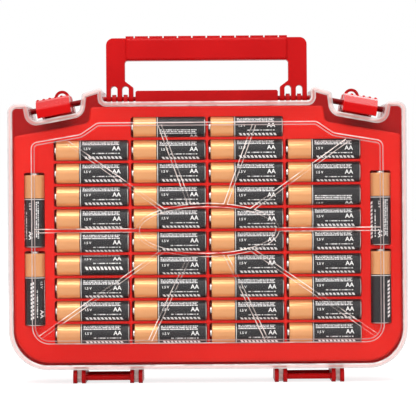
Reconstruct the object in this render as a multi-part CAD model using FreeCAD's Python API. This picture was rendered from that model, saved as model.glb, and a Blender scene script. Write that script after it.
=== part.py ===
import FreeCAD, Part
import math
import os

Vector = FreeCAD.Vector

# Double-sided battery storage case. It stands on its hinge feet. X is the
# width, the front faces -Y, Z is up, and the origin is midway under the feet.

# AA cell
cell_diameter = 14.5
cell_length = 50.5
nub_diameter = 5.4
nub_height = 1.3

# How the cells lie in the front tray
column_count = 4
column_gap = 2.3
row_count = 10
row_gap = 1.18
outer_column_rows = 9
side_column_gap = 5.35
side_pair_gap = 3.0
side_pair_drop = 12.46
cell_seat_clearance = 0.25
cell_end_clearance = 0.35
pocket_end_bevel = 0.8
pocket_floor = 2.6
deck_above_cell_axis = 2.9

# Trays on the frame
tray_side_rim = 6.75
tray_bottom_rim = 12.45
tray_top_rim = 6.73
tray_side_radius = 3.0
tray_slope_radius = 4.0
tray_top_radius = 2.0
tray_edge_bevel = 1.0
tray_shoulder_drop = 20.67
tray_slope_drop = 11.87
tray_slope_inset = 4.1
tray_top_inset = 5.5

# Gaps between the tray and the walls of a lid
tray_side_gap = 1.75
tray_bottom_gap = 2.5
tray_top_gap = 1.4
tray_corner_gap = 2.5

# Outline of the closed case, seen from the front
lower_corner_radius = 27.0
shoulder_drop = 1.0
shoulder_radius = 6.0
ear_width = 13.9
ear_inner_rise = 10.0
ear_outer_rise = 5.7
ear_root_radius = 2.6
ear_tip_radius = 2.0

# Depths of the frame and the lids
frame_half_depth = 10.5
lid_wall = 1.8
lid_front_clearance = 0.75
lid_seam = 0.3
rim_bead_width = 3.3
rim_bead_height = 1.1
rim_bead_slope = 1.0

# Raised middle panel of a lid
panel_height = 1.4
panel_side_inset = 15.75
panel_bottom_inset = 17.5
panel_top_inset = 13.9
panel_shoulder_inset = 27.4
panel_step_inset = 21.8
panel_step_outer_reach = 1.4
panel_step_inner_inset = 10.2
panel_lower_radius = 12.0
panel_side_radius = 5.0
panel_step_low_radius = 8.0
panel_step_high_radius = 6.0
panel_step_slope = 0.9

# Ribs moulded on the panel of a lid
rib_width = 3.0
rib_height = 0.7
rib_side_slope = 0.7
oval_rise = 1.75
oval_half_width = 47.5
oval_half_height = 17.0
upper_outer_rib_inset = 25.0
lower_outer_rib_inset = 5.5
upper_inner_rib_x = 32.0
lower_inner_rib_x = 39.5
outer_rib_oval_share = 0.62
inner_rib_oval_share = 0.25

# Red frame between the two lids
frame_inset = 1.0
well_clearance = 1.5
root_sink = 1.0

# Open bays of the back tray
bay_columns = 3
bay_rows = 2
bay_wall = 2.6
bay_floor = 1.8
bay_corner_radius = 5.0
well_side_inset = 10.75
well_bottom_inset = 6.0
well_top_inset = 2.4
well_front_gap = 1.7
shelf_side_rim = 8.4
shelf_top_rim = 3.9
shelf_floor = 1.5

# Hinges at the foot of the case
hinge_axis_z = 3.8
hinge_axis_reach = 4.5
hinge_below_lid = 6.3
hinge_side_inset = 42.85
hinge_length = 47.6
fork_plate = 2.7
fork_upper_reach = 5.7
fork_lower_radius = 2.5
fork_root_inset = 0.8
finger_width = 2.8
finger_side_clearance = 0.2
finger_radius = 3.4
finger_arm_inset = 0.4
rod_radius = 2.0
rod_clearance = 0.05

# Latches in the notches of the shoulders
latch_side_inset = 30.85
latch_top_drop = 2.13
latch_pin_inset = 2.5
latch_ear_gap = 20.0
latch_tilt = 10.5
latch_width = 23.2
latch_lower = 6.9
latch_swing_clearance = 1.0
latch_proud = 1.3
latch_wall = 1.9
latch_lip_height = 6.0
latch_lip_radius = 1.2
latch_brow_share = 0.55
latch_brow_rise = 0.72
latch_brow_radius = 6.0
latch_crown_share = 0.3
latch_crown_radius = 3.0
latch_tail = 1.0
latch_edge_radius = 0.6
latch_hub_radius = 3.6
latch_pin_radius = 1.5
latch_pin_clearance = 0.05
latch_pin_seat = 2.5
notch_inner_reach = 17.1
notch_outer_reach = 16.9
notch_floor_clearance = 1.3
notch_radius = 5.0
grip_ridge_count = 6
grip_ridge_width = 2.6
grip_ridge_height = 0.6
grip_ridge_length = 7.5
divider_inset = 4.6
divider_rise = 6.3
divider_radius = 5.3
divider_hole_radius = 3.3
divider_thickness = 1.0
divider_sink = 6.0

# Folding handle
pivot_rise = 3.4
handle_side_clearance = 1.5
handle_rise = 41.9
handle_thickness = 7.6
handle_outer_radius = 5.0
handle_inner_radius = 2.0
leg_width = 12.9
foot_width = 18.7
foot_flare_low_rise = 7.7
foot_flare_high_rise = 12.1
foot_flare_radius = 1.0
grip_height = 15.6
grip_thickness = 10.0
grip_end_inset = 13.2
grip_edge_radius = 2.0
grip_pad_count = 10
grip_pad_row_inset = 19.5
grip_pad_gap = 1.0
grip_pad_height = 1.4
grip_pad_sink = 0.4
grip_end_pad_width = 5.4
foot_window_width = 4.6
foot_window_rise = 8.6
outer_window_inset = 5.4
inner_window_inset = 13.25
knuckle_width = 2.8
knuckle_radius = 3.0
handle_pin_radius = 1.6
handle_pin_clearance = 0.05
handle_pin_seat = 1.8
rail_side_clearance = 1.5
rail_rise = 5.4
rail_top_radius = 1.5
rail_thickness = 9.0

# Heights, upwards from the feet
cell_radius = cell_diameter / 2
row_pitch = cell_diameter + row_gap
lid_bottom_z = hinge_axis_z + hinge_below_lid
tray_bottom_z = lid_bottom_z + lid_wall + tray_bottom_gap
lowest_row_z = tray_bottom_z + tray_bottom_rim + cell_radius
rows_height = (row_count - 1) * row_pitch
side_cell_middle_z = lowest_row_z + rows_height / 2 - side_pair_drop
tray_top_z = lowest_row_z + rows_height + cell_radius + tray_top_rim
lid_top_z = tray_top_z + tray_top_gap + lid_wall
shoulder_top_z = lid_top_z - shoulder_drop
ear_inner_top_z = lid_top_z + ear_inner_rise
ear_outer_top_z = lid_top_z + ear_outer_rise
frame_bottom_z = lid_bottom_z + frame_inset
frame_top_z = lid_top_z - frame_inset
panel_bottom_z = lid_bottom_z + panel_bottom_inset
panel_top_z = lid_top_z - panel_top_inset
panel_side_top_z = lid_top_z - panel_shoulder_inset
panel_step_low_z = lid_top_z - panel_step_inset
oval_middle_z = (panel_bottom_z + panel_top_z) / 2 + oval_rise
latch_pin_z = lid_top_z - latch_top_drop
divider_z = latch_pin_z + divider_rise
tray_side_top_z = latch_pin_z - tray_shoulder_drop
tray_slope_inner_z = latch_pin_z - tray_slope_drop
pivot_z = lid_top_z + pivot_rise
handle_top_z = pivot_z + handle_rise
grip_bottom_z = handle_top_z - grip_height
foot_flare_low_z = pivot_z + foot_flare_low_rise
foot_flare_high_z = pivot_z + foot_flare_high_rise
foot_window_top_z = pivot_z + foot_window_rise
rail_top_z = pivot_z + rail_rise

# Places along the width, outwards from the middle
column_pitch = cell_length + column_gap
side_cell_pitch = cell_length + side_pair_gap
side_cell_x = column_count * column_pitch / 2 + side_column_gap + cell_radius
tray_half_width = side_cell_x + cell_radius + tray_side_rim
half_width = tray_half_width + tray_side_gap + lid_wall
tray_lower_radius = lower_corner_radius - tray_corner_gap
latch_pin_x = half_width - latch_side_inset
divider_x = latch_pin_x - divider_inset
ear_outer_x = latch_pin_x - latch_ear_gap
ear_inner_x = ear_outer_x - ear_width
tray_slope_inner_x = ear_outer_x - tray_slope_inset
tray_top_half_width = ear_outer_x - tray_top_inset
panel_half_width = half_width - panel_side_inset
panel_step_outer_x = ear_outer_x + panel_step_outer_reach
panel_step_inner_x = ear_outer_x - panel_step_inner_inset
upper_outer_rib_x = panel_half_width - upper_outer_rib_inset
lower_outer_rib_x = panel_half_width - lower_outer_rib_inset
hinge_outer_x = half_width - hinge_side_inset
hinge_inner_x = hinge_outer_x - hinge_length
handle_half_width = ear_inner_x - handle_side_clearance
foot_window_outer_x = handle_half_width - outer_window_inset
foot_window_inner_x = handle_half_width - inner_window_inset
rail_half_width = handle_half_width - foot_width - rail_side_clearance
grip_pad_pitch = 2 * (handle_half_width - grip_pad_row_inset) / grip_pad_count

# Depths, forward or back from the middle plane
pocket_radius = cell_radius + cell_seat_clearance
pocket_length = cell_length + 2 * cell_end_clearance
cell_depth = frame_half_depth + pocket_floor + pocket_radius
deck_depth = cell_depth + deck_above_cell_axis
lid_rim_depth = cell_depth + cell_radius + lid_front_clearance + lid_wall
lid_panel_depth = lid_rim_depth + panel_height
lid_back_depth = frame_half_depth + lid_seam
hinge_axis_depth = frame_half_depth + hinge_axis_reach
latch_pin_depth = frame_half_depth - latch_pin_inset
latch_front_depth = lid_rim_depth + latch_proud
latch_upper = latch_pin_depth - divider_thickness / 2 - grip_ridge_height - latch_swing_clearance
notch_floor_drop = latch_lower + notch_floor_clearance
tilt = math.radians(latch_tilt)

# Bays between the walls of the well
well_width = 2 * (tray_half_width - well_side_inset)
well_bottom_z = tray_bottom_z + well_bottom_inset
well_height = tray_side_top_z - well_top_inset - well_bottom_z
column_step = (well_width - bay_wall) / bay_columns
row_step = (well_height - bay_wall) / bay_rows
bay_width = column_step - bay_wall
bay_height = row_step - bay_wall
bay_lowest_z = well_bottom_z + bay_wall
bay_depth = deck_depth + frame_half_depth - bay_floor - well_front_gap
shelf_bay_half_width = tray_top_half_width - shelf_side_rim
shelf_bay_bottom_z = well_bottom_z + well_height + bay_wall
shelf_bay_height = tray_top_z - shelf_top_rim - shelf_bay_bottom_z
shelf_bay_depth = deck_depth - frame_half_depth - shelf_floor


def rounded_face(corners, place):
    """Face bounded by straight sides with rounded corners (a, b, radius)."""
    count = len(corners)
    arcs = []
    for index in range(count):
        before = corners[index - 1]
        here = corners[index]
        after = corners[(index + 1) % count]
        back = (before[0] - here[0], before[1] - here[1])
        ahead = (after[0] - here[0], after[1] - here[1])
        back_length = math.hypot(back[0], back[1])
        ahead_length = math.hypot(ahead[0], ahead[1])
        back = (back[0] / back_length, back[1] / back_length)
        ahead = (ahead[0] / ahead_length, ahead[1] / ahead_length)
        half_angle = math.acos(back[0] * ahead[0] + back[1] * ahead[1]) / 2
        radius = here[2]
        reach = radius / math.tan(half_angle)
        start = (here[0] + back[0] * reach, here[1] + back[1] * reach)
        end = (here[0] + ahead[0] * reach, here[1] + ahead[1] * reach)
        bisector = (back[0] + ahead[0], back[1] + ahead[1])
        length = math.hypot(bisector[0], bisector[1])
        inset = radius / math.sin(half_angle) - radius
        middle = (here[0] + bisector[0] / length * inset, here[1] + bisector[1] / length * inset)
        arcs.append((start, middle, end, radius))
    edges = []
    for index in range(count):
        start, middle, end, radius = arcs[index]
        following = arcs[(index + 1) % count][0]
        if radius > 0:
            edges.append(Part.Arc(place(*start), place(*middle), place(*end)).toShape())
        edges.append(Part.LineSegment(place(*end), place(*following)).toShape())
    return Part.Face(Part.Wire(edges))


def front_face(corners):
    """Rounded face in the middle plane of the case; corners are (x, z, radius)."""
    return rounded_face(corners, lambda x, z: Vector(x, 0, z))


def side_face(corners, x):
    """Rounded face in a plane across the width; corners are (y, z, radius)."""
    return rounded_face(corners, lambda y, z: Vector(x, y, z))


def both_sides(right_corners):
    """Closed loop from the corners of its right half, given from bottom to top."""
    left_corners = [(-x, z, radius) for x, z, radius in reversed(right_corners)]
    return right_corners + left_corners


def slab(face, y_from, y_to):
    """Solid between two depths with the outline of a face drawn at y = 0."""
    moved = face.copy()
    moved.translate(Vector(0, y_from, 0))
    return moved.extrude(Vector(0, y_to - y_from, 0))


def bevelled_slab(face, y_back, y_front, bevel_depth, bevel_inset):
    """Slab whose front edge slopes in by bevel_inset over its last bevel_depth."""
    y_edge = y_front + bevel_depth
    root = face.OuterWire.copy()
    root.translate(Vector(0, y_edge, 0))
    tip = face.makeOffset2D(-bevel_inset).OuterWire
    tip.translate(Vector(0, y_front, 0))
    slope = Part.makeLoft([root, tip], True, True)
    if y_back - y_edge < 0.01:
        return slope
    return slab(face, y_edge, y_back).fuse(slope)


def block(x_from, x_to, y_from, y_to, z_from, z_to):
    return Part.makeBox(x_to - x_from, y_to - y_from, z_to - z_from, Vector(x_from, y_from, z_from))


def bar_along_x(radius, x_from, x_to, y, z):
    return Part.makeCylinder(radius, x_to - x_from, Vector(x_from, y, z), Vector(1, 0, 0))


def left_copy(shape):
    return shape.mirror(Vector(0, 0, 0), Vector(1, 0, 0))


def back_copy(shape):
    return shape.mirror(Vector(0, 0, 0), Vector(0, 1, 0))


def with_left(shape):
    return [shape, left_copy(shape)]


def with_back(shape):
    return [shape, back_copy(shape)]


def notch_point(along, above):
    """Point in the tilted frame of the right-hand latch, as x and z."""
    x = latch_pin_x + along * math.cos(tilt) + above * math.sin(tilt)
    z = latch_pin_z - along * math.sin(tilt) + above * math.cos(tilt)
    return x, z


def case_outline():
    """Outline of a closed lid, with a notch for a latch in each shoulder."""
    outer_x, outer_z = notch_point(notch_outer_reach, -notch_floor_drop)
    inner_x, inner_z = notch_point(-notch_inner_reach, -notch_floor_drop)
    rise = (shoulder_top_z - outer_z) * math.tan(tilt)
    return front_face(both_sides([
        (half_width, lid_bottom_z, lower_corner_radius),
        (half_width, shoulder_top_z, shoulder_radius),
        (outer_x + rise, shoulder_top_z, ear_tip_radius),
        (outer_x, outer_z, notch_radius),
        (inner_x, inner_z, notch_radius),
        (ear_outer_x, ear_outer_top_z, ear_tip_radius),
        (ear_inner_x, ear_inner_top_z, ear_tip_radius),
        (ear_inner_x, lid_top_z, ear_root_radius),
    ]))


def panel_outline():
    """Outline of the raised panel in the middle of a lid."""
    return front_face(both_sides([
        (panel_half_width, panel_bottom_z, panel_lower_radius),
        (panel_half_width, panel_side_top_z, panel_side_radius),
        (panel_step_outer_x, panel_step_low_z, panel_step_low_radius),
        (panel_step_inner_x, panel_top_z, panel_step_high_radius),
    ]))


def tray_outline():
    return front_face(both_sides([
        (tray_half_width, tray_bottom_z, tray_lower_radius),
        (tray_half_width, tray_side_top_z, tray_side_radius),
        (tray_slope_inner_x, tray_slope_inner_z, tray_slope_radius),
        (tray_top_half_width, tray_top_z, tray_top_radius),
    ]))


def panel_rib(x_from, z_from, x_to, z_to):
    """Straight rib on the front lid's panel between two points."""
    length = math.hypot(x_to - x_from, z_to - z_from)
    root = rib_width / 2
    tip = root - rib_side_slope
    section = side_face([
        (lid_wall / 2, -root, 0.0),
        (0.0, -root, 0.0),
        (-rib_height, -tip, 0.0),
        (-rib_height, tip, 0.0),
        (0.0, root, 0.0),
        (lid_wall / 2, root, 0.0),
    ], 0.0)
    rib = section.extrude(Vector(length, 0, 0))
    angle = math.degrees(math.atan2(z_to - z_from, x_to - x_from))
    rib.rotate(Vector(0, 0, 0), Vector(0, -1, 0), angle)
    rib.translate(Vector(x_from, -lid_panel_depth, z_from))
    return rib


def oval_wire(growth, y):
    """The oval, grown by a margin, in a plane parallel to the front."""
    oval = Part.Ellipse(Vector(0, 0, 0), oval_half_width + growth, oval_half_height + growth).toShape()
    oval.rotate(Vector(0, 0, 0), Vector(1, 0, 0), 90)
    oval.translate(Vector(0, y, oval_middle_z))
    return Part.Wire([oval])


def oval_disc(root_growth, tip_growth):
    """Oval plug with a sloping edge, from inside the panel's wall to the ribs' height."""
    foot = Part.Face(oval_wire(root_growth, -lid_panel_depth)).extrude(Vector(0, lid_wall / 2, 0))
    wires = [oval_wire(root_growth, -lid_panel_depth), oval_wire(tip_growth, -lid_panel_depth - rib_height)]
    return foot.fuse(Part.makeLoft(wires, True, True))


def oval_edge(share):
    """Point on the oval at a share of its half width, as x and the rise above its middle."""
    x = oval_half_width * share
    return x, oval_half_height * math.sqrt(1 - share * share)


def panel_ribs():
    """Oval ring with straight ribs that run from it to the panel's edge."""
    near_x, near_rise = oval_edge(inner_rib_oval_share)
    far_x, far_rise = oval_edge(outer_rib_oval_share)
    edge_gap = rib_width / 2 + panel_step_slope
    top_z = panel_top_z - edge_gap
    bottom_z = panel_bottom_z + edge_gap
    right_side = [
        panel_rib(near_x, oval_middle_z + near_rise, upper_inner_rib_x, top_z),
        panel_rib(far_x, oval_middle_z + far_rise, upper_outer_rib_x, panel_side_top_z),
        panel_rib(near_x, oval_middle_z - near_rise, lower_inner_rib_x, bottom_z),
        panel_rib(far_x, oval_middle_z - far_rise, lower_outer_rib_x, bottom_z + edge_gap),
        panel_rib(oval_half_width, oval_middle_z, panel_half_width - edge_gap, oval_middle_z),
    ]
    half_root = rib_width / 2
    half_tip = half_root - rib_side_slope
    inside = oval_disc(-half_root, -half_tip)
    outside = oval_disc(half_root, half_tip)
    straight = []
    for rib in right_side:
        straight.extend(with_left(rib.cut(outside)))
    return [outside.cut(inside)] + straight


def finger_spans():
    """Start of each lid finger on the right-hand hinge, along the width."""
    inner_finger_x = hinge_inner_x + fork_plate + finger_side_clearance
    outer_finger_x = hinge_outer_x - fork_plate - finger_side_clearance - finger_width
    return [inner_finger_x, outer_finger_x]


def lid_fingers():
    """Fingers below the front lid that turn on the hinge rods."""
    arm_back = -hinge_axis_depth + finger_radius - finger_arm_inset
    arm_front = -hinge_axis_depth - finger_radius + finger_arm_inset
    fingers = []
    for start in finger_spans():
        end = start + finger_width
        ring = bar_along_x(finger_radius, start, end, -hinge_axis_depth, hinge_axis_z)
        arm = block(start, end, arm_front, arm_back, hinge_axis_z, lid_bottom_z + lid_wall / 2)
        fingers.extend(with_left(ring.fuse(arm)))
    return fingers


def rim_bead(outline):
    """Raised border of the lid's front, bevelled on both of its edges."""
    front_y = -lid_rim_depth - rim_bead_height
    bead = slab(outline, -lid_rim_depth, front_y)
    bead = bead.cut(slab(outline.makeOffset2D(-rim_bead_width), -lid_rim_depth, front_y))
    front_edges = [edge for edge in bead.Edges if edge.BoundBox.YMax < front_y + rim_bead_height / 2]
    return bead.makeChamfer(rim_bead_slope, front_edges)


def front_lid():
    """Clear lid: a shallow tray with a raised panel, a border, ribs and hinge fingers."""
    outline = case_outline()
    panel = panel_outline()
    step = lid_panel_depth - lid_rim_depth
    shell = slab(outline, -lid_back_depth, -lid_rim_depth).fuse(rim_bead(outline))
    shell = shell.fuse(bevelled_slab(panel, -lid_rim_depth, -lid_panel_depth, step, panel_step_slope))
    hollow = slab(outline.makeOffset2D(-lid_wall), -lid_rim_depth + lid_wall, -lid_back_depth)
    inner_panel = panel.makeOffset2D(-lid_wall)
    panel_hollow = bevelled_slab(
        inner_panel, -lid_back_depth, -lid_panel_depth + lid_wall, step, panel_step_slope,
    )
    shell = shell.cut(hollow).cut(panel_hollow)
    lid = shell.multiFuse(panel_ribs() + lid_fingers())
    bore = bar_along_x(rod_radius + rod_clearance, hinge_inner_x, hinge_outer_x, -hinge_axis_depth, hinge_axis_z)
    for tool in with_left(bore):
        lid = lid.cut(tool)
    return lid.removeSplitter()


def hinge_rods():
    """Four red bars, two for each lid, on which the lid's fingers turn."""
    rod = bar_along_x(rod_radius, hinge_inner_x, hinge_outer_x, -hinge_axis_depth, hinge_axis_z)
    rods = []
    for side in with_left(rod):
        rods.extend(with_back(side))
    return Part.makeCompound(rods)


def fork_plates():
    """Upright plates under the frame that carry the hinge rods and form the feet."""
    foot = hinge_axis_depth + fork_upper_reach
    shelf_z = hinge_axis_z + fork_upper_reach
    root = frame_half_depth - fork_root_inset
    root_z = frame_bottom_z + root_sink
    profile = [
        (-foot, 0.0, fork_lower_radius),
        (foot, 0.0, fork_lower_radius),
        (foot, shelf_z, fork_upper_reach),
        (root, shelf_z, fork_root_inset),
        (root, root_z, 0.0),
        (-root, root_z, 0.0),
        (-root, shelf_z, fork_root_inset),
        (-foot, shelf_z, fork_upper_reach),
    ]
    fork_width = 2 * (fork_plate + finger_side_clearance) + finger_width
    starts = [
        hinge_inner_x,
        hinge_inner_x + fork_width - fork_plate,
        hinge_outer_x - fork_width,
        hinge_outer_x - fork_plate,
    ]
    plates = []
    for start in starts:
        plate = side_face(profile, start).extrude(Vector(fork_plate, 0, 0))
        plates.extend(with_left(plate))
    return plates


def latch_pin(extra_radius=0.0):
    """Pin of the right-hand front latch, through the frame on both sides of the notch."""
    inner_end = -notch_inner_reach - frame_inset - latch_pin_seat
    outer_end = notch_outer_reach + frame_inset + latch_pin_seat
    pin = bar_along_x(latch_pin_radius + extra_radius, inner_end, outer_end, 0, 0)
    return place_latch(pin)


def place_latch(shape):
    """Moves a shape from the latch's own frame to the right-hand front notch."""
    shape.rotate(Vector(0, 0, 0), Vector(0, 1, 0), latch_tilt)
    shape.translate(Vector(latch_pin_x, -latch_pin_depth, latch_pin_z))
    return shape


def four_corners(shape):
    """The shape and its copies at the other three notches."""
    copies = []
    for side in with_left(shape):
        copies.extend(with_back(side))
    return copies


def latch_pins():
    return Part.makeCompound(four_corners(latch_pin()))


def handle_pin(extra_radius=0.0):
    """Right-hand pin of the handle, from the rail to the wall of the recess."""
    start = rail_half_width - handle_pin_seat
    end = ear_inner_x + frame_inset + handle_pin_seat
    return bar_along_x(handle_pin_radius + extra_radius, start, end, 0, pivot_z)


def handle_knuckles():
    """Upright lugs of the frame that stand in the windows of the handle's feet."""
    knuckles = []
    for middle_x in (foot_window_inner_x, foot_window_outer_x):
        start = middle_x - knuckle_width / 2
        end = middle_x + knuckle_width / 2
        boss = bar_along_x(knuckle_radius, start, end, 0, pivot_z)
        web = block(start, end, -knuckle_radius, knuckle_radius, frame_top_z - root_sink, pivot_z)
        knuckles.extend(with_left(boss.fuse(web)))
    return knuckles


def notch_dividers():
    """Thin round-topped lug between the front and the back latch of each notch."""
    foot_z = latch_pin_z - notch_floor_drop - divider_sink
    lug = Part.makeCylinder(divider_radius, divider_thickness, Vector(0, 0, 0), Vector(0, 1, 0))
    lug.translate(Vector(divider_x, -divider_thickness / 2, divider_z))
    web = block(
        divider_x - divider_radius, divider_x + divider_radius,
        -divider_thickness / 2, divider_thickness / 2,
        foot_z, divider_z,
    )
    hole = Part.makeCylinder(divider_hole_radius, 4 * divider_thickness, Vector(0, 0, 0), Vector(0, 1, 0))
    hole.translate(Vector(divider_x, -2 * divider_thickness, divider_z))
    return with_left(lug.fuse(web).cut(hole))


def case_frame():
    """Red frame between the lids: ring, rail, knuckles, dividers and hinge forks."""
    outline = case_outline().makeOffset2D(-frame_inset)
    ring = slab(outline, -frame_half_depth, frame_half_depth)
    hollow = well_outline().makeOffset2D(well_clearance)
    ring = ring.cut(slab(hollow, -frame_half_depth, frame_half_depth))
    rail = front_face(both_sides([
        (rail_half_width, frame_top_z - root_sink, 0.0),
        (rail_half_width, rail_top_z, rail_top_radius),
    ]))
    pieces = [slab(rail, -rail_thickness / 2, rail_thickness / 2)]
    pieces += fork_plates() + handle_knuckles() + notch_dividers()
    frame = ring.multiFuse(pieces)
    rod_hole = bar_along_x(
        rod_radius + rod_clearance, hinge_inner_x, hinge_outer_x, -hinge_axis_depth, hinge_axis_z,
    )
    holes = four_corners(rod_hole)
    holes += four_corners(latch_pin(latch_pin_clearance))
    holes += with_left(handle_pin(handle_pin_clearance))
    for hole in holes:
        frame = frame.cut(hole)
    return frame.removeSplitter()


def latch():
    """Right-hand front latch: a hooked cover that turns on the pin in the notch."""
    reach = latch_front_depth - latch_pin_depth
    shoulder = -latch_lower + latch_lip_height
    brow = -reach * latch_brow_share
    brow_z = latch_upper * latch_brow_rise
    crown = -reach * latch_crown_share
    outer = [
        (-reach, -latch_lower, latch_edge_radius),
        (-reach, shoulder, latch_lip_radius),
        (brow, brow_z, latch_brow_radius),
        (crown, latch_upper, latch_crown_radius),
        (latch_tail, latch_upper, latch_edge_radius),
        (latch_hub_radius, 0.0, latch_edge_radius),
        (0.0, -latch_hub_radius, latch_edge_radius),
        (-reach + 2 * latch_wall, -latch_lower, latch_edge_radius),
    ]
    inner = [
        (-reach + latch_wall, -latch_lower - latch_wall, 0.0),
        (-reach + latch_wall, shoulder - latch_edge_radius, latch_edge_radius),
        (brow, brow_z - latch_wall, latch_brow_radius),
        (crown, latch_upper - latch_wall, latch_crown_radius),
        (0.0, latch_upper - latch_wall, latch_edge_radius),
        (0.0, -latch_lower - latch_wall, 0.0),
    ]
    cheek = latch_width / 2 - latch_wall
    body = side_face(outer, -latch_width / 2).extrude(Vector(latch_width, 0, 0))
    body = body.cut(side_face(inner, -cheek).extrude(Vector(2 * cheek, 0, 0)))
    hub = bar_along_x(latch_hub_radius, -latch_width / 2, latch_width / 2, 0, 0)
    ridge_radius = grip_ridge_width / 2
    pitch = (latch_width - grip_ridge_width) / (grip_ridge_count - 1)
    ridge_y = latch_tail - latch_edge_radius - grip_ridge_length
    ridges = []
    for index in range(grip_ridge_count):
        middle = -latch_width / 2 + ridge_radius + index * pitch
        start = Vector(middle, ridge_y, latch_upper + grip_ridge_height - ridge_radius)
        ridges.append(Part.makeCylinder(ridge_radius, grip_ridge_length, start, Vector(0, 1, 0)))
    body = body.multiFuse([hub] + ridges)
    bore = bar_along_x(latch_pin_radius + latch_pin_clearance, -latch_width, latch_width, 0, 0)
    return place_latch(body.cut(bore).removeSplitter())


def aa_cell():
    """Sealed cell on the X axis, centred on its length, with its nub towards -X."""
    can_end = cell_length / 2
    shoulder = -cell_length / 2 + nub_height
    return turned([
        (-cell_length / 2, nub_diameter / 2),
        (shoulder, nub_diameter / 2),
        (shoulder, cell_radius),
        (can_end, cell_radius),
    ])


def turned(profile):
    """Solid turned about the X axis from a profile of (x, radius), closed at both ends."""
    points = [Vector(profile[0][0], 0, 0)]
    points += [Vector(x, 0, radius) for x, radius in profile]
    points.append(Vector(profile[-1][0], 0, 0))
    outline = Part.makePolygon(points + points[:1])
    return Part.Face(outline).revolve(Vector(0, 0, 0), Vector(1, 0, 0), 360)


def cell_places():
    """Name, middle point and whether it stands upright, for each cell."""
    places = []
    first_x = -column_pitch * (column_count - 1) / 2
    for row in range(row_count):
        z = lowest_row_z + (row_count - 1 - row) * row_pitch
        for column in range(column_count):
            outer = column in (0, column_count - 1)
            if outer and row < row_count - outer_column_rows:
                continue
            name = "aa_cell_row%02d_column%d" % (row + 1, column + 1)
            places.append((name, first_x + column * column_pitch, z, False))
    for side, x in (("left", -side_cell_x), ("right", side_cell_x)):
        for level, step in (("upper", 0.5), ("lower", -0.5)):
            name = "aa_cell_%s_%s" % (side, level)
            places.append((name, x, side_cell_middle_z + step * side_cell_pitch, True))
    return places


def seat_cell(shape, x, z, upright):
    """Moves a shape from a cell's own frame to its place in the front tray."""
    if upright:
        shape.rotate(Vector(0, 0, 0), Vector(0, 1, 0), 90)
    shape.translate(Vector(x, -cell_depth, z))
    return shape


def front_tray():
    """Red tray with a round-bottomed pocket for each cell."""
    tray = bevelled_slab(tray_outline(), -frame_half_depth, -deck_depth, tray_edge_bevel, tray_edge_bevel)
    pocket_end = pocket_length / 2
    pockets = []
    for name, x, z, upright in cell_places():
        pocket = turned([
            (-pocket_end, pocket_radius - pocket_end_bevel),
            (-pocket_end + pocket_end_bevel, pocket_radius),
            (pocket_end - pocket_end_bevel, pocket_radius),
            (pocket_end, pocket_radius - pocket_end_bevel),
        ])
        pockets.append(seat_cell(pocket, x, z, upright))
    return tray.cut(Part.makeCompound(pockets)).removeSplitter()


def bay_face(x, z, width, height):
    """Rounded outline of one bay, centred on x and standing on z."""
    return front_face([
        (x - width / 2, z, bay_corner_radius),
        (x + width / 2, z, bay_corner_radius),
        (x + width / 2, z + height, bay_corner_radius),
        (x - width / 2, z + height, bay_corner_radius),
    ])


def well_outline():
    """Outline of the block that holds the open bays and fills the frame's hollow."""
    return bay_face(0, well_bottom_z, well_width, well_height)


def back_tray():
    """Red tray on the back with open bays that reach through the frame's hollow."""
    tray = slab(tray_outline(), frame_half_depth, deck_depth)
    well_floor_y = deck_depth - bay_depth - bay_floor
    tray = tray.fuse(slab(well_outline(), well_floor_y, frame_half_depth))
    first_x = -column_step * (bay_columns - 1) / 2
    bays = []
    for row in range(bay_rows):
        for column in range(bay_columns):
            bay = bay_face(first_x + column * column_step, bay_lowest_z + row * row_step, bay_width, bay_height)
            bays.append(slab(bay, deck_depth - bay_depth, deck_depth))
    shelf = bay_face(0, shelf_bay_bottom_z, 2 * shelf_bay_half_width, shelf_bay_height)
    bays.append(slab(shelf, deck_depth - shelf_bay_depth, deck_depth))
    for bay in bays:
        tray = tray.cut(bay)
    return tray.removeSplitter()


def grip_pads():
    """Row of raised pads along the top of the grip, with a short one at each end."""
    half_depth = grip_thickness / 2 - grip_edge_radius
    pad_width = grip_pad_pitch - grip_pad_gap
    row_half = grip_pad_count * grip_pad_pitch / 2
    spans = []
    for index in range(grip_pad_count):
        start = -row_half + index * grip_pad_pitch + grip_pad_gap / 2
        spans.append((start, start + pad_width))
    spans.append((row_half + grip_pad_gap / 2, row_half + grip_pad_gap / 2 + grip_end_pad_width))
    spans.append((-row_half - grip_pad_gap / 2 - grip_end_pad_width, -row_half - grip_pad_gap / 2))
    pads = []
    for start, end in spans:
        pads.append(block(
            start, end, -half_depth, half_depth,
            handle_top_z - grip_pad_sink, handle_top_z + grip_pad_height,
        ))
    return pads


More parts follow.
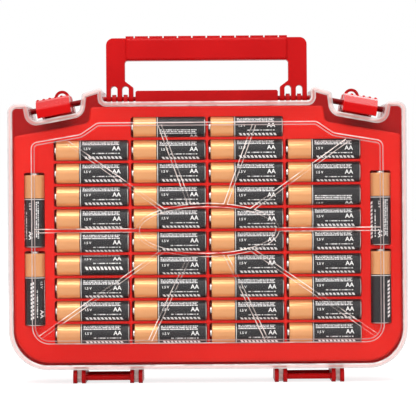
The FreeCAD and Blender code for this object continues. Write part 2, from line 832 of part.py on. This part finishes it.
def handle():
    """Folding handle: a flat bow with a thicker grip and three-fingered feet."""
    leg_inner_x = handle_half_width - leg_width
    foot_inner_x = handle_half_width - foot_width
    bow = front_face([
        (handle_half_width, pivot_z, 0.0),
        (handle_half_width, handle_top_z, handle_outer_radius),
        (-handle_half_width, handle_top_z, handle_outer_radius),
        (-handle_half_width, pivot_z, 0.0),
        (-foot_inner_x, pivot_z, 0.0),
        (-foot_inner_x, foot_flare_low_z, foot_flare_radius),
        (-leg_inner_x, foot_flare_high_z, foot_flare_radius),
        (-leg_inner_x, grip_bottom_z, handle_inner_radius),
        (leg_inner_x, grip_bottom_z, handle_inner_radius),
        (leg_inner_x, foot_flare_high_z, foot_flare_radius),
        (foot_inner_x, foot_flare_low_z, foot_flare_radius),
        (foot_inner_x, pivot_z, 0.0),
    ])
    body = slab(bow, -handle_thickness / 2, handle_thickness / 2)
    grip = block(
        -handle_half_width + grip_end_inset, handle_half_width - grip_end_inset,
        -grip_thickness / 2, grip_thickness / 2, grip_bottom_z, handle_top_z,
    )
    grip = grip.makeFillet(grip_edge_radius, grip.Edges)
    heels = with_left(bar_along_x(handle_thickness / 2, foot_inner_x, handle_half_width, 0, pivot_z))
    body = body.multiFuse([grip] + heels + grip_pads())
    half_window = foot_window_width / 2
    for middle_x in (foot_window_inner_x, foot_window_outer_x):
        arch_z = foot_window_top_z - half_window
        window = block(
            middle_x - half_window, middle_x + half_window,
            -handle_thickness, handle_thickness, pivot_z - handle_thickness, arch_z,
        )
        arch = Part.makeCylinder(half_window, 2 * handle_thickness, Vector(0, 0, 0), Vector(0, 1, 0))
        arch.translate(Vector(middle_x, -handle_thickness, arch_z))
        for tool in with_left(window.fuse(arch)):
            body = body.cut(tool)
    for tool in with_left(handle_pin(handle_pin_clearance)):
        body = body.cut(tool)
    return body.removeSplitter()


def save(name, shape):
    shape.exportStep("parts/%s.step" % name)


def build():
    os.makedirs("parts", exist_ok=True)
    lid = front_lid()
    save("front_lid", lid)
    save("back_lid", back_copy(lid))
    save("case_frame", case_frame())
    save("front_tray", front_tray())
    save("back_tray", back_tray())
    save("handle", handle())
    right_pin = handle_pin()
    save("handle_pin_right", right_pin)
    save("handle_pin_left", left_copy(right_pin))
    save("hinge_rods", hinge_rods())
    save("latch_pins", latch_pins())
    right_latch = latch()
    save("latch_front_right", right_latch)
    save("latch_front_left", left_copy(right_latch))
    save("latch_back_right", back_copy(right_latch))
    save("latch_back_left", back_copy(left_copy(right_latch)))
    for name, x, z, upright in cell_places():
        save(name, seat_cell(aa_cell(), x, z, upright))


build()
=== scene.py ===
import math
import random

import bpy
from mathutils import Matrix, Vector


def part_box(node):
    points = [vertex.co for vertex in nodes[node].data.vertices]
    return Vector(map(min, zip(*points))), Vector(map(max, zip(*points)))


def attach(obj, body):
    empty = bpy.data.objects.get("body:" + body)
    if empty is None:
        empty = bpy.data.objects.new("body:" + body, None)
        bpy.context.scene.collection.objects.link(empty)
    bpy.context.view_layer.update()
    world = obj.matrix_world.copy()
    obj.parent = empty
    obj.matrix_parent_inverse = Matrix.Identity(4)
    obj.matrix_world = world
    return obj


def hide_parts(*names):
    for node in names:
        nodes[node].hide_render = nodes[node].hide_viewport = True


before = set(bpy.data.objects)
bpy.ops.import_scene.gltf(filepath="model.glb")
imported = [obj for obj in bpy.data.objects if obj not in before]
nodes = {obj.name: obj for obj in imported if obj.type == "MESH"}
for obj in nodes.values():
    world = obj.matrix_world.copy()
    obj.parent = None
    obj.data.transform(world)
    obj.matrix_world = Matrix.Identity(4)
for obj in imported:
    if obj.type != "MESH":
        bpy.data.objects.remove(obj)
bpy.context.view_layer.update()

# Dresses the loaded battery case: moulded red plastic, clear lids with frosty edges and 42 labelled cells.
# X is the width, the front faces -Y and Z is up. Lengths are in metres, and mm turns millimetres into them.
mm = 0.001
cellNames = sorted(name for name in nodes if name.startswith("aa_cell"))


class Wire:
    # one output socket of a shader, so that its maths reads as plain sums
    def __init__(self, shader, socket):
        self.shader = shader
        self.socket = socket

    def maths(self, operation, *values):
        return self.shader.add("ShaderNodeMath", {"operation": operation}, dict(enumerate(values)))

    def __add__(self, other):
        return self.maths("ADD", self, other)

    def __radd__(self, other):
        return self.maths("ADD", other, self)

    def __sub__(self, other):
        return self.maths("SUBTRACT", self, other)

    def __rsub__(self, other):
        return self.maths("SUBTRACT", other, self)

    def __mul__(self, other):
        return self.maths("MULTIPLY", self, other)

    def __rmul__(self, other):
        return self.maths("MULTIPLY", other, self)

    def __truediv__(self, other):
        return self.maths("DIVIDE", self, other)

    def __rtruediv__(self, other):
        return self.maths("DIVIDE", other, self)

    def __gt__(self, other):
        return self.maths("GREATER_THAN", self, other)

    def __lt__(self, other):
        return self.maths("LESS_THAN", self, other)

    def __abs__(self):
        return self.maths("ABSOLUTE", self)

    def floor(self):
        return self.maths("FLOOR", self)

    def fraction(self):
        return self.maths("FRACT", self)

    def within(self, low, high):
        return (self > low) * (self < high)

    def near(self, value, reach):
        return self.within(value - reach, value + reach)

    def smooth(self, low, high):
        # rises from 0 to 1 between two values
        settings = {"interpolation_type": "SMOOTHSTEP"}
        inputs = {"Value": self, "From Min": low, "From Max": high}
        return self.shader.add("ShaderNodeMapRange", settings, inputs)


class Shader:
    # a material or world that is built from nodes, each added by one call
    def __init__(self, owner):
        self.owner = owner
        owner.use_nodes = True
        self.tree = owner.node_tree
        self.tree.nodes.clear()

    def add(self, kind, settings=None, inputs=None, output=0):
        node = self.tree.nodes.new(kind)
        for key, value in (settings or {}).items():
            setattr(node, key, value)
        for key, value in (inputs or {}).items():
            if isinstance(value, Wire):
                self.tree.links.new(value.socket, node.inputs[key])
            else:
                node.inputs[key].default_value = value
        if node.outputs:
            return Wire(self, node.outputs[output])

    def mixColour(self, factor, first, second):
        inputs = {0: factor, 6: first, 7: second}
        return self.add("ShaderNodeMix", {"data_type": "RGBA"}, inputs, output=2)

    def place(self, socket="Object"):
        return self.add("ShaderNodeTexCoord", output=socket)

    def axis(self, place, letter):
        return self.add("ShaderNodeSeparateXYZ", inputs={0: place}, output=letter)

    def noise(self, place, scale, detail=2.0, roughness=0.5):
        inputs = {"Vector": place, "Scale": scale, "Detail": detail, "Roughness": roughness}
        return self.add("ShaderNodeTexNoise", inputs=inputs)

    def finish(self, surface, kind="ShaderNodeOutputMaterial"):
        self.add(kind, inputs={"Surface": surface})
        return self.owner


def newShader(name):
    return Shader(bpy.data.materials.new(name))


def colour(red, green, blue):
    # from the 0 to 255 values of a picture to the linear light that shaders use
    def linear(value):
        share = value / 255
        return share / 12.92 if share <= 0.04045 else ((share + 0.055) / 1.055) ** 2.4
    return (linear(red), linear(green), linear(blue), 1.0)


# what all the red plastics share, with the grain's depth in millimetres
mouldedLook = {
    "flowFrom": 0.35, "flowTo": 0.7, "flowSwing": 0.08, "grainSwing": 0.06, "grainDepth": 0.05,
    "index": 1.5, "shine": 0.1, "depthGlow": 0.04, "glowReach": 2.0,
}


def mouldedPlastic(name, look):
    # satin plastic with a faint flow pattern, fine grain and edges that catch the light
    shader = newShader(name)
    place = shader.place()
    flow = shader.noise(place, look["flowScale"], 3.0)
    grain = shader.noise(place, look["grainScale"], 2.0)
    streaks = flow.smooth(mouldedLook["flowFrom"], mouldedLook["flowTo"])
    tint = shader.mixColour(streaks, look["colour"], look["paler"])
    roughness = look["roughness"] + (flow - 0.5) * mouldedLook["flowSwing"]
    roughness = roughness + (grain - 0.5) * mouldedLook["grainSwing"]
    edge = shader.add("ShaderNodeBevel", {"samples": 4}, {"Radius": look["edge"] * mm})
    bump = shader.add("ShaderNodeBump", inputs={
        "Height": grain, "Strength": look["grain"], "Distance": mouldedLook["grainDepth"] * mm, "Normal": edge,
    })
    return shader.finish(shader.add("ShaderNodeBsdfPrincipled", inputs={
        "Base Color": tint, "Roughness": roughness, "Normal": bump, "IOR": mouldedLook["index"],
        "Specular IOR Level": mouldedLook["shine"], "Subsurface Weight": mouldedLook["depthGlow"],
        "Subsurface Scale": mouldedLook["glowReach"] * mm,
    }))


shellLook = {
    "colour": colour(212, 23, 16), "paler": colour(222, 34, 25), "roughness": 0.34, "edge": 0.7,
    "grain": 0.12, "grainScale": 900.0, "flowScale": 14.0,
}
frameLook = {
    "colour": colour(170, 9, 12), "paler": colour(182, 14, 16), "roughness": 0.36, "edge": 0.6,
    "grain": 0.15, "grainScale": 900.0, "flowScale": 16.0,
}
handleLook = {
    "colour": colour(176, 6, 9), "paler": colour(186, 11, 13), "roughness": 0.3, "edge": 0.9,
    "grain": 0.12, "grainScale": 1100.0, "flowScale": 18.0,
}
latchLook = {
    "colour": colour(186, 2, 4), "paler": colour(194, 6, 7), "roughness": 0.26, "edge": 0.6,
    "grain": 0.08, "grainScale": 1100.0, "flowScale": 20.0,
}
pinLook = {
    "colour": colour(112, 6, 12), "paler": colour(124, 10, 16), "roughness": 0.3, "edge": 0.3,
    "grain": 0.08, "grainScale": 1100.0, "flowScale": 20.0,
}
shellPlastic = mouldedPlastic("redShell", shellLook)
framePlastic = mouldedPlastic("redFrame", frameLook)
handlePlastic = mouldedPlastic("redHandle", handleLook)
latchPlastic = mouldedPlastic("redLatch", latchLook)
pinPlastic = mouldedPlastic("redPin", pinLook)


# depths are in millimetres and follow the lid: ribs on a raised panel, a raised border round the rim
lidLook = {
    "ribHeight": 0.7, "panelHeight": 1.4, "wall": 1.8, "beadHeight": 1.1, "footTop": 10.0, "reach": 0.04,
    "flatAlpha": 0.004, "lineAlpha": 0.85, "stepAlpha": 0.46, "beadTopAlpha": 0.5, "wallAlpha": 0.24,
    "footAlpha": 0.3, "sheenAlpha": 0.12, "sheenBlend": 0.22,
    "dimming": 0.4, "ribDimming": 0.4, "glintScale": 52.0, "glintFrom": 0.42, "glintTo": 0.62,
    # painted refraction colours: a white for ribs and hinge feet and a grey for walls, steps and rim stand in
    # for the light that the plastic bends there
    "tint": colour(255, 250, 244), "paintedRefractionWhite": colour(244, 228, 220), "rimPaintedRefraction": colour(216, 204, 201),
    # a painted pink for the bead's top, standing in for the red case seen bent through it
    "paintedPinkRefraction": colour(228, 174, 166),
    "roughness": 0.06, "index": 1.49, "shine": 0.5, "waveScale": 9.0, "waveStrength": 0.25, "waveDepth": 1.2,
}


def clearPlastic():
    # nearly invisible on its flat faces; on walls, slopes, ribs and hinge feet, where the plastic bends the
    # light, painted white and grey stand in for that bent light
    shader = newShader("clearLid")
    place = shader.place()
    depth = abs(shader.axis(place, "Y")) / mm
    reach = lidLook["reach"]
    ribTop = abs(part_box("front_lid")[0].y) / mm
    panel = ribTop - lidLook["ribHeight"]
    rim = panel - lidLook["panelHeight"]
    inside = rim - lidLook["wall"]
    beadTop = depth.near(rim + lidLook["beadHeight"], reach)
    flat = depth.near(ribTop, reach) + depth.near(panel, reach) + depth.near(rim, reach)
    flat = flat + depth.near(panel - lidLook["wall"], reach) + depth.near(inside, reach)
    raised = depth.within(rim + reach, ribTop) * (1 - flat) * (1 - beadTop)
    step = depth.within(inside, rim) * (1 - flat)
    side = depth < inside - reach
    foot = shader.axis(place, "Z") < lidLook["footTop"] * mm
    sheen = shader.add("ShaderNodeLayerWeight", inputs={"Blend": lidLook["sheenBlend"]}, output="Facing")
    glints = shader.noise(place, lidLook["glintScale"], 3.0, 0.7)
    glints = glints.smooth(lidLook["glintFrom"], lidLook["glintTo"])
    onRib = depth > panel
    strength = 1 - (lidLook["dimming"] + onRib * lidLook["ribDimming"]) * (1 - glints)
    # opacity of the painted refraction: most on raised ribs and slopes, less on steps, walls and hinge feet;
    # painted glints vary it along the ribs, and a painted sheen adds to it at grazing angles
    alpha = lidLook["flatAlpha"] + raised * strength * lidLook["lineAlpha"]
    alpha = alpha + beadTop * lidLook["beadTopAlpha"] + step * lidLook["stepAlpha"]
    alpha = alpha + side * lidLook["wallAlpha"] + foot * lidLook["footAlpha"] + sheen * lidLook["sheenAlpha"]
    wave = shader.noise(place, lidLook["waveScale"], 1.0)
    bump = shader.add("ShaderNodeBump", inputs={
        "Height": wave, "Strength": lidLook["waveStrength"], "Distance": lidLook["waveDepth"] * mm,
    })
    # painted refraction colours: grey off the ribs, white on the ribs and hinge feet, the plastic's own tint on
    # flat faces
    tint = shader.mixColour(onRib, lidLook["rimPaintedRefraction"], lidLook["paintedRefractionWhite"])
    tint = shader.mixColour(foot, tint, lidLook["paintedRefractionWhite"])
    tint = shader.mixColour(flat, tint, lidLook["tint"])
    # painted pink on the bead's top stands in for the red case seen bent through it
    tint = shader.mixColour(beadTop, tint, lidLook["paintedPinkRefraction"])
    return shader.finish(shader.add("ShaderNodeBsdfPrincipled", inputs={
        "Base Color": tint, "Roughness": lidLook["roughness"], "Alpha": alpha, "Normal": bump,
        "IOR": lidLook["index"], "Specular IOR Level": lidLook["shine"],
    }))


lidPlastic = clearPlastic()
print("materials of the case are made")


def dropMaps(piece):
    while piece.data.uv_layers:
        piece.data.uv_layers.remove(piece.data.uv_layers[0])


def turnedPiece(name, profile, steps):
    # a profile of (along, radius) in millimetres, spun about the X axis
    bpy.ops.object.select_all(action="DESELECT")
    bpy.ops.mesh.primitive_plane_add(size=mm, location=(0, 0, 0))
    piece = bpy.context.active_object
    piece.name = name
    bpy.ops.object.mode_set(mode="EDIT")
    bpy.ops.mesh.select_all(action="SELECT")
    bpy.ops.mesh.merge(type="CENTER")
    points = [Vector((along * mm, -radius * mm, 0)) for along, radius in profile]
    bpy.ops.transform.translate(value=points[0])
    for before, after in zip(points, points[1:]):
        bpy.ops.mesh.extrude_vertices_move(TRANSFORM_OT_translate={"value": after - before})
    bpy.ops.mesh.select_all(action="SELECT")
    bpy.ops.mesh.spin(steps=steps, angle=2 * math.pi, center=(0, 0, 0), axis=(1, 0, 0))
    bpy.ops.mesh.select_all(action="SELECT")
    bpy.ops.mesh.remove_doubles(threshold=0.002 * mm)
    bpy.ops.mesh.normals_make_consistent(inside=False)
    bpy.ops.object.mode_set(mode="OBJECT")
    dropMaps(piece)
    return piece


# millimetres along and round a cell, measured from its nub's end and from the middle of its front
cellSize = {
    "length": 50.5, "radius": 7.25, "inset": 0.01, "shoulder": 1.3, "nub": 2.7, "steps": 48, "smoothTo": 38,
    "filmLip": 0.7, "topFilmLip": 1.0, "filmStop": 0.5,
}
cellPrint = {
    "copperEnd": 17.0, "copperBlur": 0.1, "pinstripeGap": 0.7, "pinstripe": 0.35,
    "rowStart": 2.8, "rowPitch": 1.27, "rowFrom": 0.16, "rowTo": 0.76, "rowsAhead": 50,
    "strokeScale": 1.1, "strokeFrom": 0.43, "strokeTo": 0.53, "lowerStrength": 0.9,
    "upperAround": (2.8, 6.6), "upperAlong": (19.3, 44.5),
    "lowerAround": (-3.3, -2.2), "lowerAlong": (26.0, 45.0),
    "barPitch": 2.6, "barShare": 0.62, "barSlant": 0.45, "barAround": (-7.6, -5.2), "barAlong": (20.5, 46.5),
    "charcoal": colour(28, 26, 28), "charcoalPaler": colour(40, 38, 40), "ink": colour(236, 234, 232),
    "copper": colour(208, 144, 92), "copperPaler": colour(222, 160, 108), "copperMetal": 0.4,
    "roughness": 0.3, "copperSmoother": 0.1, "roughnessSwing": 0.06, "shine": 0.3, "streakScale": 30.0,
}
cellMarks = [
    {"words": "AA", "height": 3.0, "along": 42.6, "around": 0.4},
    {"words": "1.5 V", "height": 1.7, "along": 22.6, "around": 0.2},
]
markStyle = {"sizeForHeight": 1.38, "boldness": 0.02, "curveSteps": 3, "strips": 7}
endMetal = {
    "darker": colour(196, 192, 188), "paler": colour(224, 221, 216), "roughness": 0.24,
    "roughnessSwing": 0.12, "brushScale": 420.0,
}
whiteInk = {
    "darker": colour(228, 226, 222), "paler": colour(244, 242, 240), "roughness": 0.35, "wearScale": 600.0,
}


def filmShader():
    # printed sleeve: a copper band at the nub's end, charcoal beyond it, with rows of small print
    look = cellPrint
    shader = newShader("cellFilm")
    place = shader.place("UV")
    along = shader.axis(place, "X") * cellSize["length"]
    around = (shader.axis(place, "Y") - 0.5) * (2 * math.pi * cellSize["radius"])
    copper = 1 - along.smooth(look["copperEnd"] - look["copperBlur"], look["copperEnd"] + look["copperBlur"])
    line = (around - look["rowStart"]) / look["rowPitch"] + look["rowsAhead"]
    letters = shader.add("ShaderNodeCombineXYZ", inputs={0: along, 1: line.floor()})
    strokes = shader.noise(letters, look["strokeScale"], 4.0, 0.8).smooth(look["strokeFrom"], look["strokeTo"])
    smallPrint = strokes * line.fraction().within(look["rowFrom"], look["rowTo"])
    upperBlock = smallPrint * around.within(*look["upperAround"]) * along.within(*look["upperAlong"])
    lowerBlock = smallPrint * around.within(*look["lowerAround"]) * along.within(*look["lowerAlong"])
    slant = along + around * look["barSlant"]
    bars = (slant / look["barPitch"]).fraction() < look["barShare"]
    barRow = bars * around.within(*look["barAround"]) * along.within(*look["barAlong"])
    pinstripeStart = look["copperEnd"] + look["pinstripeGap"]
    pinstripe = along.within(pinstripeStart, pinstripeStart + look["pinstripe"])
    ink = (upperBlock + lowerBlock * look["lowerStrength"] + barRow + pinstripe).smooth(0.0, 1.0)
    streak = shader.noise(place, look["streakScale"], 2.0)
    charcoal = shader.mixColour(streak, look["charcoal"], look["charcoalPaler"])
    gold = shader.mixColour(streak, look["copper"], look["copperPaler"])
    body = shader.mixColour(copper, charcoal, gold)
    tint = shader.mixColour(ink, body, look["ink"])
    roughness = look["roughness"] - copper * look["copperSmoother"] + (streak - 0.5) * look["roughnessSwing"]
    return shader.finish(shader.add("ShaderNodeBsdfPrincipled", inputs={
        "Base Color": tint, "Metallic": copper * look["copperMetal"], "Roughness": roughness,
        "Specular IOR Level": look["shine"],
    }))


def endMetalShader():
    # brushed steel of the nub and of both ends
    shader = newShader("cellEnds")
    brushed = shader.noise(shader.place(), endMetal["brushScale"], 3.0)
    tint = shader.mixColour(brushed, endMetal["darker"], endMetal["paler"])
    roughness = endMetal["roughness"] + brushed * endMetal["roughnessSwing"]
    return shader.finish(shader.add("ShaderNodeBsdfPrincipled", inputs={
        "Base Color": tint, "Metallic": 1.0, "Roughness": roughness,
    }))


def printShader():
    # white ink of the marks, slightly worn
    shader = newShader("cellPrint")
    wear = shader.noise(shader.place(), whiteInk["wearScale"], 2.0)
    tint = shader.mixColour(wear, whiteInk["darker"], whiteInk["paler"])
    return shader.finish(shader.add("ShaderNodeBsdfPrincipled", inputs={
        "Base Color": tint, "Roughness": whiteInk["roughness"],
    }))


cellMaterials = [filmShader(), endMetalShader(), printShader()]
filmSlot, metalSlot, printSlot = range(3)


def labelMark(words, height, along, around):
    # flat letters wrapped round the sleeve, centred on a place along and around it, in millimetres
    bpy.ops.object.select_all(action="DESELECT")
    bpy.ops.object.text_add(location=(0, 0, 0))
    mark = bpy.context.active_object
    mark.data.body = words
    mark.data.size = height * markStyle["sizeForHeight"] * mm
    mark.data.offset = height * markStyle["boldness"] * mm
    mark.data.resolution_u = markStyle["curveSteps"]
    mark.data.align_x = "CENTER"
    mark.data.align_y = "CENTER"
    bpy.ops.object.convert(target="MESH")
    mark = bpy.context.active_object
    bpy.ops.object.mode_set(mode="EDIT")
    # level cuts let the letters follow the curve
    strips = markStyle["strips"]
    for strip in range(-(strips // 2), strips // 2 + 1):
        bpy.ops.mesh.select_all(action="SELECT")
        bpy.ops.mesh.bisect(plane_co=(0, strip * height / strips * mm, 0), plane_no=(0, 1, 0))
    bpy.ops.mesh.select_all(action="SELECT")
    bpy.ops.mesh.quads_convert_to_tris()
    bpy.ops.object.mode_set(mode="OBJECT")
    radius = cellSize["radius"] * mm
    for vertex in mark.data.vertices:
        angle = vertex.co.y / radius + around * mm / radius
        x = vertex.co.x + (along - cellSize["length"] / 2) * mm
        vertex.co = (x, -radius * math.cos(angle), radius * math.sin(angle))
    mark.data.materials.clear()
    for material in cellMaterials:
        mark.data.materials.append(material)
    for face in mark.data.polygons:
        face.material_index = printSlot
    return mark


def buildCell():
    # one cell on the X axis, nub to the left and print to the front
    half = cellSize["length"] / 2
    radius = cellSize["radius"] - cellSize["inset"]
    shoulder = -half + cellSize["shoulder"]
    nub = cellSize["nub"]
    profile = [
        (-half, 0.0), (-half, nub - 0.35), (-half + 0.12, nub - 0.1), (-half + 0.35, nub),  # nub
        (shoulder - 0.15, nub), (shoulder + 0.1, nub + 0.35), (shoulder + 0.12, radius - 1.15),  # its plate
        (shoulder - 0.08, radius - 0.85), (shoulder - 0.05, radius - 0.5),  # sleeve's rolled lip
        (shoulder + 0.12, radius - 0.2), (shoulder + 0.4, radius), (shoulder + 0.9, radius),
        (half - 0.95, radius), (half - 0.62, radius - 0.1), (half - 0.5, radius - 0.3),  # sleeve's far end
        (half - 0.52, radius - 0.42), (half - 0.2, radius - 0.5), (half, radius - 0.85),  # can's rim
        (half, radius - 1.35), (half - 0.3, radius - 1.6), (half - 0.32, 0.0),  # sunken flat end
    ]
    cell = turnedPiece("cellPattern", profile, cellSize["steps"])
    bpy.ops.object.select_all(action="DESELECT")
    cell.select_set(True)
    bpy.context.view_layer.objects.active = cell
    bpy.ops.object.shade_smooth_by_angle(angle=math.radians(cellSize["smoothTo"]))
    for material in cellMaterials:
        cell.data.materials.append(material)
    cell.data.uv_layers.new(name="sleeve")
    sleeve = cell.data.uv_layers["sleeve"].data
    for face in cell.data.polygons:
        middle = face.center
        reach = math.hypot(middle.y, middle.z) / mm
        onSide = reach > radius - cellSize["filmLip"] and shoulder < middle.x / mm < half - cellSize["filmStop"]
        onFilm = onSide or (middle.x < 0 and reach > radius - cellSize["topFilmLip"])
        face.material_index = filmSlot if onFilm else metalSlot
        middleTurn = math.atan2(middle.z, -middle.y)
        for loop in face.loop_indices:
            point = cell.data.vertices[cell.data.loops[loop].vertex_index].co
            turn = math.atan2(point.z, -point.y)
            if turn - middleTurn > math.pi:
                turn -= 2 * math.pi
            if middleTurn - turn > math.pi:
                turn += 2 * math.pi
            sleeve[loop].uv = (point.x / mm / cellSize["length"] + 0.5, turn / (2 * math.pi) + 0.5)
    marks = [labelMark(**mark) for mark in cellMarks]
    bpy.ops.object.select_all(action="DESELECT")
    for mark in marks:
        dropMaps(mark)
        mark.data.uv_layers.new(name="sleeve")
        mark.select_set(True)
    cell.select_set(True)
    bpy.context.view_layer.objects.active = cell
    bpy.ops.object.join()
    return cell


# degrees by which cells are turned about their own length: set for some, drawn within the spread for the rest
cellDraw = {"seed": 7, "spread": 7}
cellTurns = {
    "aa_cell_row01_column2": 64.0, "aa_cell_row04_column4": 52.0, "aa_cell_row07_column1": -34.0,
    "aa_cell_left_upper": 24.0, "aa_cell_left_lower": -38.0,
    "aa_cell_right_upper": 10.0, "aa_cell_right_lower": -96.0,
}


def placeCells(pattern):
    # a copy of the pattern in each pocket
    draw = random.Random(cellDraw["seed"])
    for name in cellNames:
        low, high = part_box(name)
        middle = (low + high) / 2
        drawnTurn = draw.uniform(-cellDraw["spread"], cellDraw["spread"])
        turn = math.radians(cellTurns.get(name, drawnTurn))
        upright = high.z - low.z > high.x - low.x
        place = Matrix.Translation(middle)
        if upright:
            place = place @ Matrix.Rotation(math.radians(90), 4, "Y")
        place = place @ Matrix.Rotation(turn, 4, "X")
        mesh = pattern.data.copy()
        mesh.transform(place)
        cell = bpy.data.objects.new(name + "_dressed", mesh)
        bpy.context.scene.collection.objects.link(cell)
        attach(cell, "case")
        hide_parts(name)
    bpy.data.objects.remove(pattern)


placeCells(buildCell())
print("cells are placed:", len(cellNames))


def dressNodes():
    finishes = {
        "front_lid": lidPlastic, "back_lid": lidPlastic, "case_frame": framePlastic,
        "front_tray": shellPlastic, "back_tray": shellPlastic, "handle": handlePlastic,
        "handle_pin_left": handlePlastic, "handle_pin_right": handlePlastic, "latch_pins": pinPlastic,
    }
    for name, node in nodes.items():
        if name in cellNames:
            continue
        material = finishes.get(name, latchPlastic)
        node.data.materials.clear()
        node.data.materials.append(material)


dressNodes()
print("frame, trays, lids, handle and latches are dressed")


stageLook = {
    "floorSize": 30.0, "floorColour": (0.93, 0.93, 0.93, 1.0), "ambient": (0.62, 0.62, 0.63, 1.0),
    "backdrop": (1.0, 1.0, 1.0, 1.0), "shownFloor": (0.36, 0.36, 0.36, 1.0), "shownGlow": 0.8,
}


def seenStraight(shader):
    # 1 for what the camera sees, directly, mirrored or through the clear lids
    paths = ("Is Camera Ray", "Is Glossy Ray", "Is Transmission Ray")
    seen, mirrored, through = (shader.add("ShaderNodeLightPath", output=path) for path in paths)
    return (seen + mirrored + through) > 0.5


def buildStage():
    # pale floor that shows white to the camera and keeps the case's shadow
    bpy.ops.object.select_all(action="DESELECT")
    bpy.ops.mesh.primitive_plane_add(size=stageLook["floorSize"], location=(0, 0, 0))
    floor = bpy.context.active_object
    floor.name = "floor"
    shader = newShader("paleFloor")
    matt = shader.add("ShaderNodeBsdfDiffuse", inputs={"Color": stageLook["floorColour"]})
    glow = shader.add("ShaderNodeEmission", inputs={
        "Color": stageLook["backdrop"], "Strength": stageLook["shownGlow"],
    })
    dull = shader.add("ShaderNodeBsdfDiffuse", inputs={"Color": stageLook["shownFloor"]})
    lit = shader.add("ShaderNodeAddShader", inputs={0: dull, 1: glow})
    shown = shader.add("ShaderNodeMixShader", inputs={0: seenStraight(shader), 1: matt, 2: lit})
    floor.data.materials.append(shader.finish(shown))
    world = bpy.data.worlds.new("studio")
    bpy.context.scene.world = world
    sky = Shader(world)
    ambient = sky.add("ShaderNodeBackground", inputs={"Color": stageLook["ambient"]})
    white = sky.add("ShaderNodeBackground", inputs={"Color": stageLook["backdrop"]})
    shown = sky.add("ShaderNodeMixShader", inputs={0: seenStraight(sky), 1: ambient, 2: white})
    sky.finish(shown, "ShaderNodeOutputWorld")


# places and sizes in metres, the height that each light is aimed at, power in watts
lights = [
    {"name": "keyLight", "place": (-0.25, -0.75, 1.05), "targetZ": 0.16, "size": (0.9, 0.4), "power": 7.0},
    {"name": "topLight", "place": (0, -0.25, 1.15), "targetZ": 0.16, "size": (0.9, 0.4), "power": 5.0},
    {"name": "fillLight", "place": (0.1, -1.4, 0.7), "targetZ": 0.1, "size": (1.4, 0.7), "power": 3.0},
    {"name": "backLight", "place": (0.2, 1.2, 1.0), "targetZ": 0.12, "size": (1.0, 0.6), "power": 7.0},
]


def softLight(name, place, targetZ, size, power):
    bpy.ops.object.light_add(type="AREA", location=place)
    lamp = bpy.context.active_object
    lamp.name = name
    lamp.data.shape = "RECTANGLE"
    lamp.data.size = size[0]
    lamp.data.size_y = size[1]
    lamp.data.energy = power
    lamp.rotation_euler = (Vector((0, 0, targetZ)) - Vector(place)).to_track_quat("-Z", "Y").to_euler()


buildStage()
for light in lights:
    softLight(**light)
print("stage and lights are set")


cameraLook = {
    "distance": 1.5, "shownWidth": 288.8, "middleX": 0.35, "middleZ": 119.7, "roll": 0.42, "sensor": 36.0,
}


def placeCamera():
    # square on to the front, level with the middle of the case
    place = (cameraLook["middleX"] * mm, -cameraLook["distance"], cameraLook["middleZ"] * mm)
    bpy.ops.object.camera_add(location=place)
    camera = bpy.context.active_object
    camera.rotation_euler = (math.radians(90), math.radians(cameraLook["roll"]), 0)
    camera.data.sensor_width = cameraLook["sensor"]
    camera.data.lens = cameraLook["sensor"] * cameraLook["distance"] / (cameraLook["shownWidth"] * mm)
    bpy.context.scene.camera = camera


placeCamera()
bpy.context.scene.view_settings.view_transform = "Standard"
